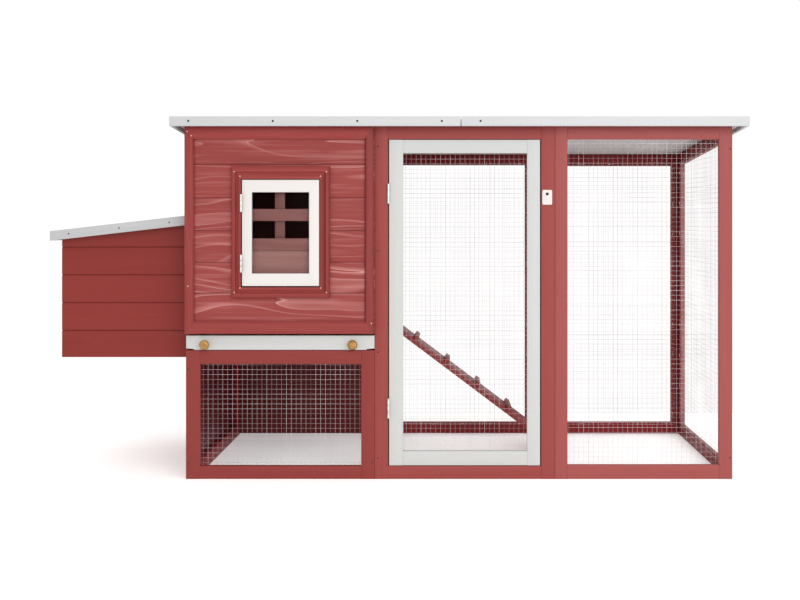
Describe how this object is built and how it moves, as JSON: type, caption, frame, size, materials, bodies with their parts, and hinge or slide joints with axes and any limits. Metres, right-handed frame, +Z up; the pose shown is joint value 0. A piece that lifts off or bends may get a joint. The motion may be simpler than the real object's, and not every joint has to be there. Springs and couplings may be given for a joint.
{
  "type": "chicken coop",
  "caption": "Wooden hen house with a hinged window, slide-out tray and lidded nest box, joined to a mesh run with a door and a ramp under one sloping roof.",
  "frame": {"origin": "on the ground at the middle of the bounding box", "axes": "+X along the length, from the nest box to the run; +Y from the front to the back; +Z up"},
  "size_m": [1.982, 0.72, 1.021],
  "materials": {
    "red_painted_wood": "red painted softwood, satin, with the grain showing",
    "dark_red_painted_wood": "red painted softwood on the inner frames, satin",
    "white_painted_wood": "white painted softwood, satin",
    "roof_covering_board": "board with a grey mineral felt on top and grey paint below",
    "galvanised_steel": "galvanised",
    "zinc_plated_steel": "zinc plated",
    "brass": "brushed",
    "clear_acrylic": "clear",
    "white_painted_metal": "white coated"
  },
  "bodies": {
    "coop": {"back_middle_frame": "dark_red_painted_wood", "back_middle_mesh": "galvanised_steel", "back_right_frame": "dark_red_painted_wood", "back_right_mesh": "galvanised_steel", "back_wall": "red_painted_wood", "door_bay_frame": "red_painted_wood", "door_button_screw": "zinc_plated_steel", "door_hinge_fixed_lower": "zinc_plated_steel", "door_hinge_fixed_upper": "zinc_plated_steel", "house_front_moulding": "red_painted_wood", "house_front_panel": "red_painted_wood", "left_wall": "red_painted_wood", "left_wall_frame": "dark_red_painted_wood", "lid_hinge_fixed_back": "zinc_plated_steel", "lid_hinge_fixed_front": "zinc_plated_steel", "lower_front_frame": "red_painted_wood", "lower_front_mesh": "galvanised_steel", "nest_back": "red_painted_wood", "nest_end": "red_painted_wood", "nest_floor": "dark_red_painted_wood", "nest_front": "red_painted_wood", "partition_wall": "dark_red_painted_wood", "ramp_board": "dark_red_painted_wood", "ramp_cleat_1": "dark_red_painted_wood", "ramp_cleat_2": "dark_red_painted_wood", "ramp_cleat_3": "dark_red_painted_wood", "ramp_cleat_4": "dark_red_painted_wood", "right_front_frame": "red_painted_wood", "right_front_mesh": "galvanised_steel", "right_side_frame": "dark_red_painted_wood", "right_side_mesh": "galvanised_steel", "roof_board_left": "roof_covering_board", "roof_board_right": "roof_covering_board", "roof_edging_left": "white_painted_wood", "roof_edging_right": "white_painted_wood", "tray_runner_left": "dark_red_painted_wood", "tray_runner_right": "dark_red_painted_wood", "window_casing": "red_painted_wood", "window_hinge_fixed_lower": "zinc_plated_steel", "window_hinge_fixed_upper": "zinc_plated_steel", "window_mullion": "red_painted_wood", "window_slat_lower": "red_painted_wood", "window_slat_upper": "red_painted_wood"},
    "door": {"door_frame": "white_painted_wood", "door_mesh": "galvanised_steel", "door_hinge_leaf_upper": "zinc_plated_steel", "door_hinge_leaf_lower": "zinc_plated_steel"},
    "window": {"window_sash": "white_painted_wood", "window_pane": "clear_acrylic", "window_hinge_leaf_upper": "zinc_plated_steel", "window_hinge_leaf_lower": "zinc_plated_steel"},
    "tray": {"tray_front": "white_painted_wood", "tray_pan": "galvanised_steel", "tray_knob_left": "brass", "tray_knob_right": "brass"},
    "nest_lid": {"lid_board": "roof_covering_board", "lid_edging": "white_painted_wood", "lid_hinge_leaf_front": "zinc_plated_steel", "lid_hinge_leaf_back": "zinc_plated_steel"},
    "turn_button": {"door_button": "white_painted_metal"}
  },
  "joints": [
    {"name": "door_hinge", "type": "hinge", "parent": "coop", "child": "door", "pos_m": [-0.0179, -0.3233, 0.5], "axis": [0, 0, -1], "range_deg": [0, 120]},
    {"name": "button_turn", "type": "hinge", "parent": "coop", "child": "turn_button", "pos_m": [0.4301, -0.32, 0.805], "axis": [0, 1, 0], "continuous": true},
    {"name": "window_hinge", "type": "hinge", "parent": "coop", "child": "window", "pos_m": [-0.43005, -0.3433, 0.6951], "axis": [0, 0, -1], "range_deg": [0, 110]},
    {"name": "tray_slide", "type": "slide", "parent": "coop", "child": "tray", "axis": [0, 1, 0], "range_m": [-0.45, 0]},
    {"name": "lid_hinge", "type": "hinge", "parent": "coop", "child": "nest_lid", "pos_m": [-0.5938, 0, 0.74189], "axis": [0, 1, 0], "range_deg": [0, 80]}
  ]
}
